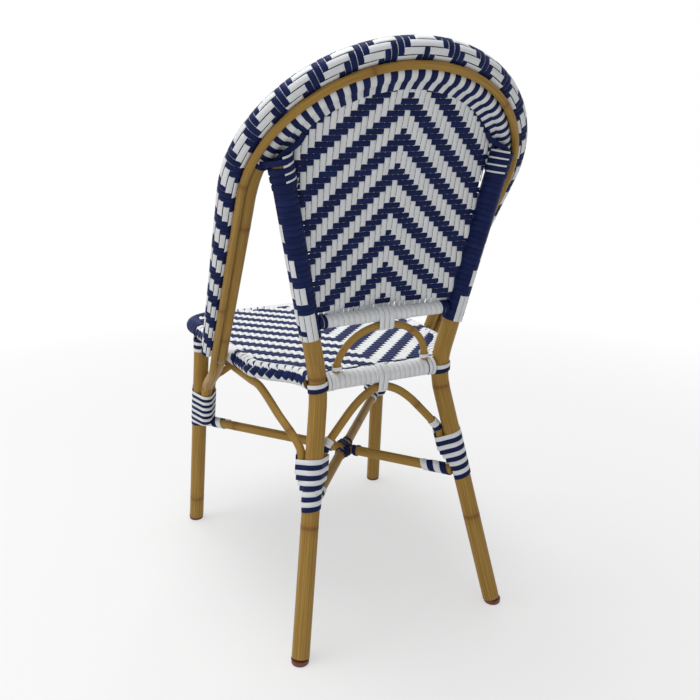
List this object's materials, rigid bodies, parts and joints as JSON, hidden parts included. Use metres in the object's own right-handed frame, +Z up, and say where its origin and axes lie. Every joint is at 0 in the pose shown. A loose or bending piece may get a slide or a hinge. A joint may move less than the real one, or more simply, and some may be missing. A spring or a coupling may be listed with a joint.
{
  "type": "rattan bistro chair",
  "caption": "Bistro side chair with a leaning hoop back, woven seat and back panels, bamboo-look tube frame, arched braces and wound joints.",
  "frame": {"origin": "on the floor, under the middle of the chair's bounding box", "axes": "+Z up, the chair faces -Y, +X towards the sitter's left"},
  "size_m": [0.4982, 0.5824, 0.927],
  "materials": {
    "bamboo_tube": "gold-brown bamboo-look paint with dark nodes and streaks, satin",
    "navy_strand": "navy blue flat strand, satin",
    "white_strand": "white flat strand, satin",
    "woven_panel": "navy and white strands woven in a chevron, satin",
    "woven_edge": "navy and white strands woven in a herringbone round the tube, satin",
    "woven_band": "navy and white strands woven in stepped bricks, satin",
    "woven_post": "navy strands woven in a herringbone with white blocks on one side, satin",
    "striped_strand": "navy and white stripes wound round the tube, satin",
    "foot_plug": "reddish brown plastic, matte",
    "screw": "dulled steel"
  },
  "bodies": {
    "root": {"rear_leg_left": "bamboo_tube", "rear_leg_right": "bamboo_tube", "front_leg_left": "bamboo_tube", "front_leg_right": "bamboo_tube", "rear_foot_plug_left": "foot_plug", "rear_foot_plug_right": "foot_plug", "front_foot_plug_left": "foot_plug", "front_foot_plug_right": "foot_plug", "rear_joint_wrap_left_navy": "navy_strand", "rear_joint_wrap_left_white": "white_strand", "rear_joint_wrap_right_navy": "navy_strand", "rear_joint_wrap_right_white": "white_strand", "front_joint_wrap_left_navy": "navy_strand", "front_joint_wrap_left_white": "white_strand", "front_joint_wrap_right_navy": "navy_strand", "front_joint_wrap_right_white": "white_strand", "side_arch_left": "bamboo_tube", "side_arch_right": "bamboo_tube", "junction_lashing_left": "navy_strand", "junction_lashing_right": "navy_strand", "post_weave_left": "woven_post", "post_weave_right": "woven_post", "seat_lashing_left": "navy_strand", "seat_lashing_right": "navy_strand", "leg_top_wrap_left": "navy_strand", "leg_top_wrap_right": "navy_strand", "hoop_spacer_left": "white_strand", "hoop_spacer_right": "white_strand", "hoop_screw_left": "screw", "hoop_screw_right": "screw", "seat_frame": "bamboo_tube", "seat_edge_weave": "woven_edge", "seat_weave": "woven_panel", "seat_rear_rail": "bamboo_tube", "seat_rear_rail_wrap": "white_strand", "hoop_inner_tube": "bamboo_tube", "hoop_trim_tube": "bamboo_tube", "hoop_outer_tube": "bamboo_tube", "hoop_band_weave": "woven_band", "hoop_stripe_weave": "striped_strand", "back_rail": "bamboo_tube", "back_rail_wrap": "white_strand", "back_weave": "woven_panel", "back_arch": "bamboo_tube", "back_arch_tie_left": "white_strand", "back_arch_tie_right": "white_strand", "rear_arch": "bamboo_tube", "front_arch": "bamboo_tube", "stretcher_through": "bamboo_tube", "stretcher_half_front": "bamboo_tube", "stretcher_half_rear": "bamboo_tube", "stretcher_centre_lashing": "navy_strand", "stretcher_end_wrap_front_left": "white_strand", "stretcher_end_wrap_rear_right": "white_strand", "stretcher_end_wrap_front_right": "white_strand", "stretcher_end_wrap_rear_left": "white_strand", "back_rail_centre_lashing": "white_strand", "seat_rail_centre_lashing": "white_strand"}
  },
  "joints": []
}
